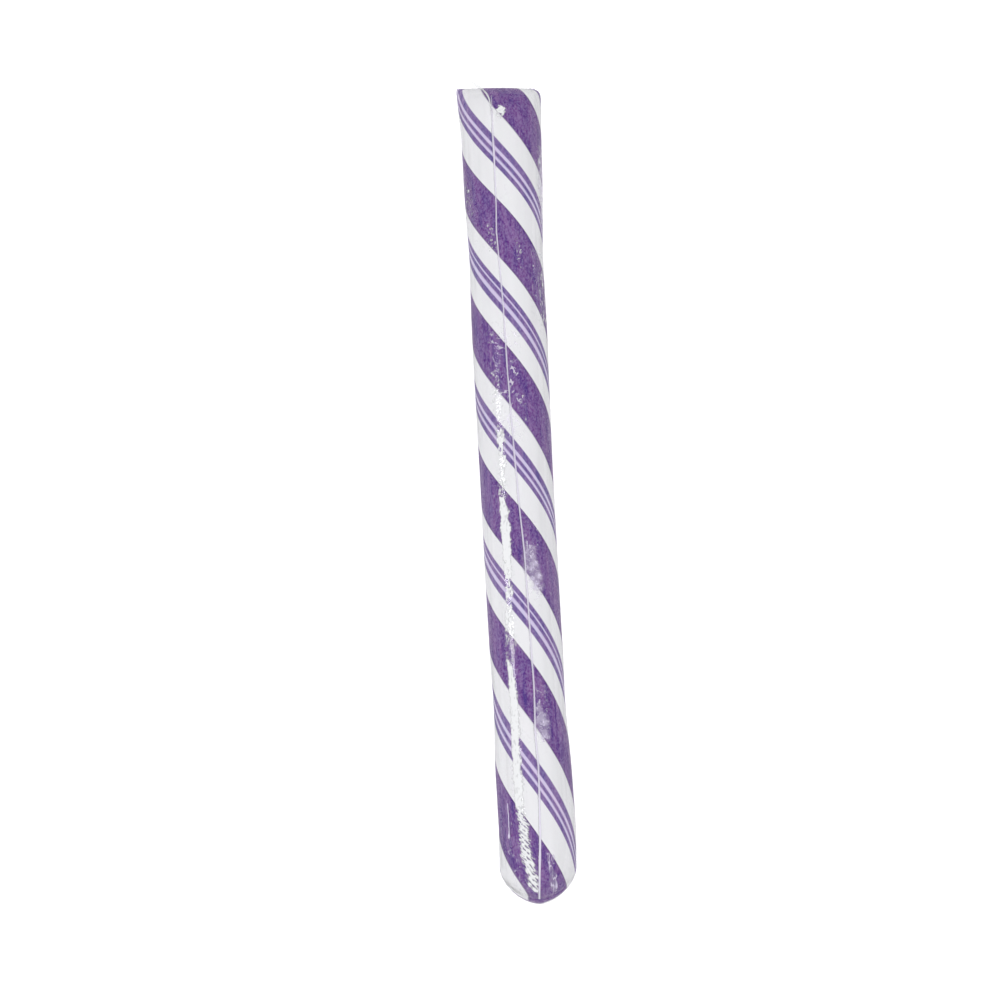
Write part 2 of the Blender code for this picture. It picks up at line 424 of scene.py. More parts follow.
def sheet_of(name, points, details=None):
    """An open sheet through a grid of points."""
    rows, columns = points.shape[:2]
    faces = []
    for row in range(rows - 1):
        for column in range(columns - 1):
            start = row * columns + column
            faces.append((start, start + 1, start + columns + 1, start + columns))
    mesh = bpy.data.meshes.new(name)
    mesh.from_pydata((points.reshape(-1, 3) * MM).tolist(), [], faces)
    for detail, values in (details or {}).items():
        attribute = mesh.attributes.new(detail, "FLOAT", "POINT")
        attribute.data.foreach_set("value", values.ravel())
    return finished(name, mesh)


def finished(name, mesh):
    """Cleans a mesh, turns its faces outward, smooths it and puts it in the scene."""
    work = bmesh.new()
    work.from_mesh(mesh)
    bmesh.ops.remove_doubles(work, verts=work.verts, dist=1e-7)
    bmesh.ops.dissolve_degenerate(work, edges=work.edges, dist=1e-8)
    bmesh.ops.recalc_face_normals(work, faces=work.faces)
    work.to_mesh(mesh)
    work.free()
    mesh.shade_smooth()
    piece = bpy.data.objects.new(name, mesh)
    bpy.context.scene.collection.objects.link(piece)
    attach(piece, "root")
    return piece


# ---------------------------------------------------------------- materials

def linear(colour):
    """Turns an sRGB hex colour to linear."""
    parts = [int(colour[i : i + 2], 16) / 255.0 for i in (1, 3, 5)]
    return tuple(p / 12.92 if p <= 0.04045 else ((p + 0.055) / 1.055) ** 2.4 for p in parts) + (1.0,)


def add(tree, kind, inputs=None, **settings):
    """Adds a node with its settings, and its inputs as values or links."""
    node = tree.nodes.new(kind)
    for name, value in settings.items():
        setattr(node, name, value)
    for name, value in (inputs or {}).items():
        if isinstance(value, bpy.types.NodeSocket):
            tree.links.new(value, node.inputs[name])
        else:
            node.inputs[name].default_value = value
    return node


def maths(tree, operation, *values, **settings):
    """The result of a maths node, from values or links."""
    return add(tree, "ShaderNodeMath", dict(enumerate(values)), operation=operation, **settings).outputs[0]


def vector_maths(tree, operation, *values):
    """The result of a vector maths node, from values or links."""
    return add(tree, "ShaderNodeVectorMath", dict(enumerate(values)), operation=operation).outputs[0]


def new_material(name):
    material = bpy.data.materials.new(name)
    material.use_nodes = True
    material.node_tree.nodes.clear()
    return material, material.node_tree


def fill_ramp(ramp, stops):
    """Sets a colour ramp's stops from (position, colour) pairs."""
    elements = ramp.color_ramp.elements
    elements[0].position, elements[0].color = stops[0]
    elements[-1].position, elements[-1].color = stops[-1]
    for position, colour in stops[1:-1]:
        elements.new(position).color = colour


def stripe_stops():
    """Colours round the rope: each stripe's colour twice, a blurred edge apart."""
    stops = []
    angle = 0.0
    for kind, width in STRIPES:
        colour = linear(STRIPE_COLOURS[kind])
        first = angle + EDGE_BLUR / 2.0 if stops else 0.0
        angle += width
        last = angle - EDGE_BLUR / 2.0 if angle < 359.9 else 360.0
        stops += [(first / 360.0, colour), (last / 360.0, colour)]
    return stops


def edge_stops():
    """Where the wide stripes' dye is thickest: a fine darker line along each of their edges."""
    stops = [(0.0, linear("#FFFFFF"))]
    angle = 0.0
    none, full = linear("#000000"), linear("#FFFFFF")
    for kind, width in STRIPES:
        if kind == WIDE:
            if angle > 0.0:
                stops += [((angle - 0.2) / 360.0, none), ((angle + 0.4) / 360.0, full)]
            stops += [((angle + 2.6) / 360.0, none)]
            stops += [((angle + width - 2.6) / 360.0, none)]
            stops += [((angle + width - 0.4) / 360.0, full), ((angle + width + 0.2) / 360.0, none)]
        angle += width
    stops.append((1.0, none))
    return stops


def pulled_sugar():
    """Pulled boiled sugar: opaque from the air folded into it, with fine grain drawn out along the
    twist, and a hard, glassy skin. The dye is cloudy, and thickest along the edges of the stripes."""
    material, tree = new_material("pulled_boiled_sugar")
    rope = add(tree, "ShaderNodeAttribute", attribute_name="rope").outputs["Vector"]
    drawn = vector_maths(tree, "MULTIPLY", rope, (1.0, 1.0, DRAWN_OUT))
    wobble = add(
        tree, "ShaderNodeTexNoise", {"Vector": drawn, "Scale": 0.9, "Detail": 2.0}
    ).outputs["Fac"]
    parts = add(tree, "ShaderNodeSeparateXYZ", {0: rope})
    angle = maths(tree, "ARCTAN2", parts.outputs["Y"], parts.outputs["X"])
    share = maths(tree, "MULTIPLY_ADD", angle, 1.0 / math.tau, 1.0)
    shaken = maths(tree, "MULTIPLY_ADD", wobble, EDGE_WAVER, share)
    centred = maths(tree, "SUBTRACT", shaken, EDGE_WAVER / 2.0)
    turn = maths(tree, "FRACT", centred)
    stripes = add(tree, "ShaderNodeValToRGB", {"Fac": turn})
    fill_ramp(stripes, stripe_stops())
    edges = add(tree, "ShaderNodeValToRGB", {"Fac": turn})
    fill_ramp(edges, edge_stops())

    # Clouds about 1.5 mm wide are drawn out along the twist. Fine crystals about 0.3 mm apart, and
    # streaks that the rollers left along the stick, are not.
    clouds = add(tree, "ShaderNodeTexNoise", {"Vector": drawn, "Scale": 0.65, "Detail": 2.0})
    grain = add(tree, "ShaderNodeTexNoise", {"Vector": drawn, "Scale": 2.9, "Detail": 4.0, "Roughness": 0.6})
    place = add(tree, "ShaderNodeTexCoord").outputs["Object"]
    rolled = vector_maths(tree, "MULTIPLY", place, (220.0, 1500.0, 1500.0))
    streaks = add(tree, "ShaderNodeTexNoise", {"Vector": rolled, "Scale": 1.0, "Detail": 2.0}).outputs["Fac"]
    fine = vector_maths(tree, "MULTIPLY", place, (2400.0, 3300.0, 3300.0))
    crystals = add(
        tree, "ShaderNodeTexNoise", {"Vector": fine, "Scale": 1.0, "Detail": 2.0, "Roughness": 0.7}
    ).outputs["Fac"]
    faint = maths(tree, "MULTIPLY", streaks, 0.6)
    both = maths(tree, "MULTIPLY_ADD", crystals, 1.6, faint)
    cloudy = maths(tree, "MULTIPLY_ADD", clouds.outputs["Fac"], 0.5, both)

    # The dye is thinner over the crystals, and its hue shifts with the clouds and the streaks. White
    # sugar hardly changes.
    dye = add(tree, "ShaderNodeSeparateColor", {0: stripes.outputs["Color"]}).outputs["Green"]
    thinning = add(
        tree,
        "ShaderNodeMapRange",
        {"Value": dye, "From Min": 0.1, "From Max": 0.7, "To Min": 0.24, "To Max": 0.0},
    ).outputs[0]
    pale = add(
        tree,
        "ShaderNodeMapRange",
        {"Value": cloudy, "From Min": 1.1, "From Max": 1.7, "To Min": 0.0, "To Max": thinning},
    ).outputs[0]
    cloud_hue = maths(tree, "MULTIPLY_ADD", clouds.outputs["Fac"], 0.06, 0.415)
    hue = maths(tree, "MULTIPLY_ADD", streaks, 0.11, cloud_hue)
    tinted = add(
        tree, "ShaderNodeHueSaturation", {"Hue": hue, "Color": stripes.outputs["Color"]}
    ).outputs["Color"]
    edge = maths(tree, "MULTIPLY_ADD", edges.outputs["Color"], -0.45, 1.0)
    edged = add(tree, "ShaderNodeVectorMath", {0: tinted, "Scale": edge}, operation="SCALE").outputs[0]
    to_pale = vector_maths(tree, "SUBTRACT", CRYSTAL_COLOUR, edged)
    colour = vector_maths(tree, "MULTIPLY_ADD", to_pale, pale, edged)

    bump = add(
        tree,
        "ShaderNodeBump",
        {"Height": grain.outputs["Fac"], "Strength": 0.35, "Distance": 0.02 * MM},
    ).outputs[0]
    skin = add(
        tree,
        "ShaderNodeBsdfPrincipled",
        {
            "Base Color": colour,
            "Roughness": 0.42,
            "IOR": 1.5,
            "Specular IOR Level": 0.0,
            "Subsurface Weight": 0.08,
            "Subsurface Radius": (1.0, 0.8, 1.0),
            "Subsurface Scale": 0.3 * MM,
            "Normal": bump,
        },
    )
    add(tree, "ShaderNodeOutputMaterial", {"Surface": skin.outputs[0]})
    return material


def film_shine(tree, normal=None):
    """How much light the film turns back, the same from either side: 4.5% straight on, and more edge
    on, though less than loose film because it clings to the sugar."""
    inputs = {"Blend": 0.5}
    if normal is not None:
        inputs["Normal"] = normal
    edge_on = add(tree, "ShaderNodeLayerWeight", inputs).outputs["Facing"]
    power = maths(tree, "POWER", edge_on, 5.0)
    return maths(tree, "MULTIPLY_ADD", power, 0.25, 0.045)


def shrink_film():
    """Polypropylene shrink film, cast clear: a bright skin over the sugar, with glints painted white on its
    curled creases.
    """
    material, tree = new_material("clear_polypropylene_film")
    place = add(tree, "ShaderNodeTexCoord").outputs["Object"]
    # Draw marks about 0.5 mm apart run along the film.
    drawn = vector_maths(tree, "MULTIPLY", place, (60.0, 2000.0, 2000.0))
    marks = add(tree, "ShaderNodeTexNoise", {"Vector": drawn, "Scale": 1.0, "Detail": 2.0}).outputs["Fac"]
    loose = add(tree, "ShaderNodeAttribute", attribute_name="loose").outputs["Fac"]
    # Puckers about 0.45 mm across fill the looser film.
    puckers = add(
        tree, "ShaderNodeTexNoise", {"Vector": place, "Scale": 2200.0, "Detail": 2.5, "Distortion": 0.4}
    ).outputs["Fac"]
    puckered = maths(tree, "MULTIPLY", puckers, loose)
    height = maths(tree, "MULTIPLY_ADD", marks, 0.12, puckered)
    bump = add(
        tree, "ShaderNodeBump", {"Height": height, "Strength": 1.0, "Distance": 0.05 * MM}
    ).outputs[0]
    # Seen edge on, some draw marks turn hazy and others dark.
    edge_on = add(tree, "ShaderNodeLayerWeight", {"Blend": 0.5}).outputs["Facing"]
    slope = maths(tree, "POWER", edge_on, 2.0)
    dark = add(
        tree, "ShaderNodeMapRange", {"Value": marks, "From Min": 0.5, "From Max": 0.36, "To Max": 0.35}
    ).outputs[0]
    dim = maths(tree, "MULTIPLY", slope, dark)
    through = maths(tree, "SUBTRACT", 0.98, dim)
    clear = add(tree, "ShaderNodeBsdfTransparent", {"Color": through}).outputs[0]
    gloss = add(
        tree, "ShaderNodeBsdfGlossy", {"Color": linear("#FFFFFF"), "Roughness": 0.07, "Normal": bump}
    ).outputs[0]
    skin = add(tree, "ShaderNodeMixShader", {0: film_shine(tree, bump), 1: clear, 2: gloss}).outputs[0]

    # Short curled creases about 0.15 mm wide are painted white on the looser film, as glints.
    swirl = add(
        tree, "ShaderNodeTexNoise", {"Vector": place, "Scale": 800.0, "Detail": 1.0, "Distortion": 1.2}
    ).outputs["Fac"]
    on_line = maths(tree, "COMPARE", swirl, 0.5, 0.028)
    chance = add(tree, "ShaderNodeTexNoise", {"Vector": place, "Scale": 1300.0, "Detail": 0.0}).outputs["Fac"]
    short = add(
        tree, "ShaderNodeMapRange", {"Value": chance, "From Min": 0.5, "From Max": 0.6}
    ).outputs[0]
    curled = maths(tree, "MULTIPLY", on_line, short)
    creased = add(tree, "ShaderNodeAttribute", attribute_name="creased").outputs["Fac"]
    milk_and_highlight = add(tree, "ShaderNodeAttribute", attribute_name="milk_and_highlight").outputs["Fac"]
    whitened = maths(tree, "MULTIPLY_ADD", curled, creased, milk_and_highlight)

    streaky = add(
        tree, "ShaderNodeMapRange", {"Value": marks, "From Min": 0.5, "From Max": 0.64, "To Max": 0.16}
    ).outputs[0]
    hazy = maths(tree, "MULTIPLY_ADD", slope, streaky, whitened, use_clamp=True)
    white = add(tree, "ShaderNodeBsdfDiffuse", {"Color": linear("#EFEAF8")}).outputs[0]
    whole = add(tree, "ShaderNodeMixShader", {0: hazy, 1: skin, 2: white}).outputs[0]
    add(tree, "ShaderNodeOutputMaterial", {"Surface": whole})
    return material


def creased_film(name, colour):
    """The same film where it is doubled, cut or crushed: half clear, whitened by its folds, painted white
    where it stands for highlights and glints, and dimmed by painted shade along some edges. What clings
    again is clear, and its painted sheen is tinted by the sugar under it where it half clings."""
    material, tree = new_material(name)
    shade = add(tree, "ShaderNodeAttribute", attribute_name="shade").outputs["Fac"]
    milk_and_highlight = add(tree, "ShaderNodeAttribute", attribute_name="milk_and_highlight").outputs["Fac"]
    dim = maths(tree, "SUBTRACT", 1.0, shade)
    clear = add(tree, "ShaderNodeBsdfTransparent", {"Color": dim}).outputs[0]
    gloss = add(tree, "ShaderNodeBsdfGlossy", {"Color": linear("#FFFFFF"), "Roughness": 0.2}).outputs[0]
    both = maths(tree, "ADD", shade, milk_and_highlight)
    folded = maths(tree, "MULTIPLY", both, 5.0, use_clamp=True)
    shine = maths(tree, "MULTIPLY", film_shine(tree), folded)
    skin = add(tree, "ShaderNodeMixShader", {0: shine, 1: clear, 2: gloss}).outputs[0]
    white = add(tree, "ShaderNodeBsdfDiffuse", {"Color": linear(colour)}).outputs[0]
    whole = add(tree, "ShaderNodeMixShader", {0: milk_and_highlight, 1: skin, 2: white}).outputs[0]
    add(tree, "ShaderNodeOutputMaterial", {"Surface": whole})
    return material


def light_table_top():
    """The opal acrylic top of a light table: matte, faintly cloudy, and lit from below."""
    material, tree = new_material("lit_opal_acrylic")
    place = add(tree, "ShaderNodeTexCoord").outputs["Object"]
    fibres = add(tree, "ShaderNodeTexNoise", {"Vector": place, "Scale": 900.0, "Detail": 2.0}).outputs["Fac"]
    ramp = add(tree, "ShaderNodeValToRGB", {"Fac": fibres})
    fill_ramp(ramp, [(0.0, linear("#8A8A8B")), (1.0, linear("#909091"))])
    skin = add(
        tree,
        "ShaderNodeBsdfPrincipled",
        {
            "Base Color": ramp.outputs["Color"],
            "Roughness": 0.9,
            "Emission Color": linear("#FFFFFF"),
            "Emission Strength": 0.96,
        },
    ).outputs[0]
    add(tree, "ShaderNodeOutputMaterial", {"Surface": skin})
    return material


# ---------------------------------------------------------------- the sugar

def sugar_stick(shift):
    place, squash, push = rows_along(SUGAR_ROWS)
    angle = (np.arange(SUGAR_COLUMNS) * 360.0 / SUGAR_COLUMNS)[None, :]
    points = skin_points(place, angle, squash, push) + shift
    stripes = np.radians(stripe_angles(place, angle))
    circle = (SKIN_RADIUS * np.cos(stripes), SKIN_RADIUS * np.sin(stripes))
    rope = np.stack((*circle, points[..., 0]), axis=-1)
    # The skin is drawn into faint ridges that follow the twist.
    ridges = wave_noise(rope, (0.8, 0.8, 9.0), 1) + 0.6 * wave_noise(rope, (2.2, 2.2, 16.0), 2)
    points = points + normals_of(points) * (0.02 * ridges - FILM_GAP)[..., None]
    points[..., 2] = np.maximum(points[..., 2], 0.03)
    piece = tube("striped_sugar", points, {"rope": rope})
    piece.data.materials.append(pulled_sugar())
    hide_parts(NODE)
    return piece


# ---------------------------------------------------------------- the film

def inside(value, low, high, soft):
    """1 between two limits and 0 outside them, eased over a soft distance."""
    share = np.clip((value - low) / soft + 0.5, 0.0, 1.0) * np.clip((high - value) / soft + 0.5, 0.0, 1.0)
    return share * share * (3.0 - 2.0 * share)


def from_top(angle):
    """Angles turned to lie from -180 to 180, with 0 at the top line."""
    return (angle + 180.0) % 360.0 - 180.0


def crumple(points, scale, seed):
    """Noise folded over at nothing, which leaves sharp creases between smooth blisters."""
    return np.abs(wave_noise(points, scale, seed))


def film_relief(place, angle):
    """How far the film stands off the sugar in millimetres, and how loose, creased and milky it is. Its
    curled creases are painted with white glints where it is creased.
    """
    around = np.radians(angle) * SKIN_RADIUS
    along = along_stick(place, np.sin(np.radians(angle)))
    circle = (SKIN_RADIUS * np.cos(np.radians(angle)), SKIN_RADIUS * np.sin(np.radians(angle)))
    unrolled = np.stack(np.broadcast_arrays(along, *circle), axis=-1)
    fine = crumple(unrolled, (0.7, 0.5, 0.5), 3)
    small = crumple(unrolled, (1.6, 0.9, 0.9), 4)
    broad = wave_noise(unrolled, (6.0, 2.0, 2.0), 5)
    patch = wave_noise(unrolled, (9.0, 2.5, 2.5), 6)

    # Where the film is looser: a long band left of the top, patches right of it, the right side near
    # the head, and the top past the middle.
    band = inside(along, 1.0, 76.0, 5.0) * inside(angle, 12.0, 42.0, 10.0)
    right = inside(along, 48.0, 60.0, 5.0) + inside(along, 25.0, 34.0, 5.0)
    right = right * inside(angle, -28.0, -8.0, 8.0)
    side = inside(along, 94.0, 105.0, 6.0) * inside(angle, -80.0, -40.0, 14.0)
    upper = inside(along, 74.0, 92.0, 5.0) * inside(angle, -12.0, 36.0, 12.0)
    rest = 0.1 + 0.5 * np.clip(patch * 2.2 - 0.25, 0.0, 1.0)
    loose = np.clip(rest + 0.4 * band + right + side + 0.5 * upper, 0.0, 1.0)
    creased = np.clip(0.1 * rest + 0.1 * band + 0.4 * right + 0.5 * side + 0.5 * upper, 0.0, 1.0)
    relief = 0.006 * broad + loose * (0.045 * small + 0.03 * fine)

    # Fine folds lie along the stick at the head, beside the seam.
    pleats = inside(along, 126.0, 132.8, 2.0) * inside(angle, 4.0, 18.0, 4.0)
    relief = relief + 0.016 * pleats * np.cos(math.tau * around / 0.55)

    milk_and_highlight = 0.01 + 0.02 * loose * small
    return relief, {"milk_and_highlight": milk_and_highlight, "loose": loose, "creased": creased}


def as_film(piece, film):
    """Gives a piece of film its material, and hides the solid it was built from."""
    piece.data.materials.append(film)
    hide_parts(NODE)
    return piece


def film_sleeve(shift, film):
    place, squash, push = rows_along(FILM_ROWS)
    angle = (np.arange(FILM_COLUMNS) * 360.0 / FILM_COLUMNS)[None, :]
    points = skin_points(place, angle, squash, push) + shift
    relief, details = film_relief(place, from_top(angle))
    relief = relief * np.minimum(1.0, squash)
    points = points + normals_of(points) * relief[..., None]
    points[..., 2] = np.maximum(points[..., 2], 0.0)
    return as_film(tube("film_sleeve", points, details), film)


def on_film(shift, places, lateral, height):
    """Points over the film, from places, distances left of the middle, and heights above it."""
    return round_film(shift, places, angle_left(places, lateral), height)


def angle_left(places, lateral):
    """The angle from the top line of points that lie a distance left of the middle."""
    half_width = eased(WIDTHS, places) / 2.0
    return np.degrees(np.arcsin(np.clip(lateral / half_width, -0.98, 0.98)))


def round_film(shift, places, angle, height):
    """Points over the film, from places, angles round the stick, and heights above it."""
    points = skin_points(places, angle) + shift
    beside = skin_points(places, angle + 1.0) + shift
    ahead = skin_points(np.minimum(places + 0.2, LENGTH), angle) + shift
    behind = skin_points(np.maximum(places - 0.2, 0.0), angle) + shift
    normal = np.cross(ahead - behind, beside - points)
    normal = normal / np.maximum(np.linalg.norm(normal, axis=-1, keepdims=True), 1e-9)
    outward = normal[..., 1] * np.sin(np.radians(angle)) + normal[..., 2] * np.cos(np.radians(angle))
    normal = np.where(outward[..., None] < 0.0, -normal, normal)
    return points + normal * np.asarray(height)[..., None]


def lap_seam(shift, film):
    """The film's lap: one edge lies over the other, in a fine raised line that wanders a little."""
    places = np.linspace(SEAM_PATH[0][0], SEAM_PATH[-1][0], 500)[:, None]
    middle = np.interp(places, *zip(*SEAM_PATH))
    spots = np.concatenate((places, 0.0 * places, 0.0 * places), axis=-1)[:, None, :]
    middle = middle + 0.05 * wave_noise(spots, 5.0, 7)
    width = np.interp(places, *zip(*SEAM_WIDTHS))
    width = width * (1.0 + 0.3 * wave_noise(spots, 2.5, 8))
    across = np.linspace(-0.5, 0.5, 11)[None, :]
    profile = 0.02 + 0.075 * np.cos(across * math.pi) ** 0.8
    profile[:, 0] = profile[:, -1] = -0.01
    points = on_film(shift, places + 0.0 * across, middle + across * width, profile + 0.0 * places)
    # Painted highlight and shade: the seam's middle is painted white as if lit, and its left edge painted dim
    # as shade.
    lit = np.broadcast_to(inside(across, -0.3, 0.22, 0.12), points.shape[:2])
    shaded = np.broadcast_to(inside(across, 0.22, 0.44, 0.1), points.shape[:2])
    milk_and_highlight = np.interp(places, *zip(*SEAM_MILK_AND_HIGHLIGHT))
    details = {"milk_and_highlight": milk_and_highlight * lit, "shade": 0.28 * milk_and_highlight * shaded}
    return as_film(sheet_of("film_lap_seam", points, details), film)


# The patterns of the patches. Each takes points on the skin, how far they are across a patch from its
# left edge, as a share of its width, and a seed. Each gives how much of the patch there is at a point,
# how far the film stands off there, and how white it is.

def flat_band(spots, share, seed):
    """A white band with ragged edges, clearer in a few dimples."""
    edge = share + 0.16 * wave_noise(spots, (1.4, 0.5, 0.5), seed) + 0.12 * wave_noise(spots, 0.35, seed + 1)
    body = inside(edge, 0.07, 0.93, 0.2)
    dimples = wave_noise(spots, (0.6, 0.3, 0.3), seed + 2)
    return body, 0.025 + 0.015 * dimples, 1.0 - 0.25 * np.clip(3.0 * dimples - 0.6, 0.0, 1.0)


def slashes(spots, share, seed):
    """A band of slanted folds painted white as a highlight, which fringe both of its edges and leave gaps
    between them.
    """
    slant = (spots[..., 0] - spots[..., 1]) / math.sqrt(2.0) / SLASH_PITCH
    wave = np.cos(math.tau * slant + 2.2 * wave_noise(spots, (2.0, 0.8, 0.8), seed))
    edge = share + 0.16 * wave * np.sign(share - 0.5) + 0.2 * wave_noise(spots, (0.8, 0.3, 0.3), seed + 1)
    gaps = np.clip(1.6 + 1.6 * wave + 2.0 * wave_noise(spots, 0.5, seed + 2), 0.0, 1.0)
    return inside(edge, 0.0, 1.0, 0.18), 0.03 + 0.07 * (1.0 + wave), 0.15 + 0.85 * gaps


def lace(spots, share, seed):
    """Crumpled film painted as a highlight: curled white creases over a thin pale wash, thicker in some spots
    than in others.
    """
    edge = share + 0.35 * wave_noise(spots, (1.2, 0.6, 0.6), seed)
    body = inside(edge, 0.0, 1.0, 0.3)
    creases = np.clip(1.0 - 5.0 * crumple(spots, (1.1, 0.35, 0.35), seed + 1), 0.0, 1.0)
    thick = np.clip(0.45 + 1.5 * wave_noise(spots, (1.5, 0.6, 0.6), seed + 2), 0.0, 1.0)
    return body, 0.03 + 0.1 * creases, np.clip(0.35 * thick + 0.75 * creases, 0.0, 1.0)


def painted_sheen(spots, share, seed):
    """Film that half clings, painted with a thin pale sheen for the light it reflects, with soft edges and a
    few curled creases.
    """
    edge = share + 0.4 * wave_noise(spots, 1.1, seed) + 0.2 * wave_noise(spots, 0.35, seed + 1)
    creases = np.clip(1.0 - 7.0 * crumple(spots, (0.4, 0.3, 0.3), seed + 2), 0.0, 1.0)
    thick = 0.4 + 0.4 * wave_noise(spots, 0.9, seed + 4)
    broken = np.clip(0.15 + 3.0 * wave_noise(spots, 0.7, seed + 5), 0.0, 0.7)
    return inside(edge, 0.0, 1.0, 0.6), 0.02 + 0.02 * creases, np.clip(thick + creases * broken, 0.0, 1.0)


def curls(spots, share, seed):
    """Short curled creases by themselves, painted white as glints."""
    body = inside(share + 0.3 * wave_noise(spots, 0.6, seed), 0.0, 1.0, 0.3)
    creases = np.clip(1.0 - 7.0 * crumple(spots, (0.55, 0.45, 0.45), seed + 1), 0.0, 1.0)
    broken = np.clip(0.2 + 3.0 * wave_noise(spots, 0.5, seed + 2), 0.0, 1.0)
    return body, 0.03 + 0.1 * creases, creases * broken


def crinkles(spots, share, seed):
    """Curled creases so close that they fill the film between them with small white blisters, painted white
    as glints.
    """
    body = inside(share + 0.3 * wave_noise(spots, 0.6, seed), 0.0, 1.0, 0.3)
    creases = np.clip(1.0 - 4.5 * crumple(spots, (0.4, 0.32, 0.32), seed + 1), 0.0, 1.0)
    broken = np.clip(0.55 + 2.0 * wave_noise(spots, 0.5, seed + 2), 0.0, 1.0)
    return body, 0.03 + 0.06 * creases, creases * broken


def streaks(spots, share, seed):
    """Broken creases that run along the stick, painted white as glints."""
    body = inside(share + 0.2 * wave_noise(spots, 1.5, seed), 0.0, 1.0, 0.3)
    creases = np.clip(1.0 - 5.0 * crumple(spots, (3.5, 0.3, 0.3), seed + 1), 0.0, 1.0)
    broken = np.clip(0.45 + 3.0 * wave_noise(spots, (0.5, 0.3, 0.3), seed + 2), 0.0, 1.0)
    return body, 0.03 + 0.04 * creases, creases * broken


def film_patch(shift, film, name, outline, pattern, seed):
    """A finely meshed patch of film that stands off the sugar between two edges along the stick."""
    stations, lefts, rights, thicknesses = zip(*outline)
    places = np.arange(stations[0], stations[-1], PATCH_STEP)[:, None]
    left = angle_left(places, np.interp(places, stations, lefts))
    right = angle_left(places, np.interp(places, stations, rights))
    widest = SKIN_RADIUS * np.radians(left - right).max()
    columns = max(9, math.ceil(widest * (1.0 + 2.0 * PATCH_MARGIN) / PATCH_PITCH))
    share = np.linspace(-PATCH_MARGIN, 1.0 + PATCH_MARGIN, columns)[None, :]
    angle = left + (right - left) * share
    around = SKIN_RADIUS * np.radians(angle)
    spots = np.stack((places + 0.0 * share, around, 0.0 * around), axis=-1)
    body, height, white = pattern(spots, share, seed)
    # Where the patch is thin, it breaks up.
    thickness = 1.3 * np.interp(places, stations, thicknesses) - 0.15
    gaps = 0.5 + 0.7 * wave_noise(spots, (0.7, 0.4, 0.4), seed + 3)
    body = body * np.clip(5.0 * (thickness - gaps), 0.0, 1.0)
    points = round_film(shift, places + 0.0 * share, angle, 0.03 + body * height)
    # The white is painted in: on most patches it stands for highlights, sheen or glints of the lamps.
    details = {"milk_and_highlight": np.clip(body * white, 0.0, 0.97), "shade": 0.0 * body}
    return as_film(sheet_of(name, points, details), film)


def foot_edge(shift, film):
    """The film's pressed end at the foot: a fine line of painted shade along the round edge, on the left."""
    side = np.linspace(0.3, 0.97, 100)[None, :]
    row = np.linspace(0.0, 1.0, 9)[:, None]
    places = -0.2 + 0.35 * row + 0.0 * side
    lateral = side * eased(WIDTHS, places) / 2.0
    points = on_film(shift, places, lateral, 0.02 + 0.05 * np.sin(row * math.pi) + 0.0 * side)
    line = inside(row, 0.2, 0.7, 0.3) * inside(side, 0.5, 0.93, 0.2)
    details = {"milk_and_highlight": 0.0 * line, "shade": 0.3 * line}
    return as_film(sheet_of("film_foot_edge", points, details), film)


def smooth_path(corners, count):
    """A path of many points past a few corners, with the corners rounded."""
    steps = np.linspace(0.0, len(corners) - 1.0, count)
    numbers = range(len(corners))
    path = np.stack([np.interp(steps, numbers, column) for column in np.array(corners).T], axis=-1)
    for _ in range(count // 3):
        path[1:-1] = (path[:-2] + 2.0 * path[1:-1] + path[2:]) / 4.0
    return path


def head_fold(shift, film):
    """The film's trimmed end: the lap folds to the left at the head, and its tip stands off as a wisp."""
    on_stick = np.array(FOLD_ON_STICK)
    lying = on_film(shift, on_stick[:, 0], on_stick[:, 1], on_stick[:, 2])
    free = lying[-1] + np.array(WISP_PAST_HEAD)
    path = smooth_path(np.concatenate((lying, free)), 60)
    along = np.gradient(path, axis=0)
    across = np.cross((0.0, 0.0, 1.0), along)
    across = across / np.linalg.norm(across, axis=-1, keepdims=True)
    share = np.linspace(0.0, 1.0, len(path))
    width = np.interp(share, (0.0, 0.3, 0.6, 0.85, 1.0), FOLD_WIDTHS)
    side = np.linspace(-0.5, 0.5, 9)
    rise = 0.07 * np.cos(side * math.pi)
    points = path[:, None, :] + across[:, None, :] * (width[:, None] * side)[..., None]
    points[..., 2] += rise * (width[:, None] / 0.3)
    spots = np.stack((6.0 * share, 0.0 * share, 0.0 * share), axis=-1)
    points[..., 2] += 0.06 * wave_noise(spots, 0.5, 9)[:, None] * side
    # Painted highlight and shade: the fold's middle is painted white as if lit, and both its edges painted
    # dim as shade.
    lit = np.broadcast_to(inside(np.abs(side), -1.0, 0.34, 0.1), points.shape[:2])
    shaded = np.broadcast_to(inside(np.abs(side), 0.34, 1.0, 0.12), points.shape[:2])
    details = {"milk_and_highlight": 0.75 * lit, "shade": 0.03 + 0.15 * shaded}
    return as_film(sheet_of("film_head_fold", points, details), film)


def crushed_film(shift, film):
    """A small white crumple near the head, where the film was crushed against the sugar."""
    place, left = CRUMPLE_PLACE
    along = np.linspace(-1.0, 1.0, 40)[:, None]
    across = np.linspace(-1.0, 1.0, 34)[None, :]
    places = place + CRUMPLE_LENGTH / 2.0 * along + 0.0 * across
    lateral = left + CRUMPLE_WIDTH / 2.0 * across + 0.0 * along
    spots = np.stack((places, lateral, 0.0 * places), axis=-1)
    far = np.hypot(along, across) + 0.35 * wave_noise(spots, 0.8, 10) + 0.3 * wave_noise(spots, 0.3, 12)
    inner = np.clip((0.75 - far) * 4.0, 0.0, 1.0)
    folds = crumple(spots, (0.5, 0.35, 0.35), 11)
    points = on_film(shift, places, lateral, 0.02 + 0.12 * inner * folds)
    milk_and_highlight = inner * np.clip(0.8 + 0.8 * folds, 0.0, 0.97)
    return as_film(sheet_of("film_crumple", points, {"milk_and_highlight": milk_and_highlight, "shade": 0.0 * inner}), film)


# ---------------------------------------------------------------- the studio

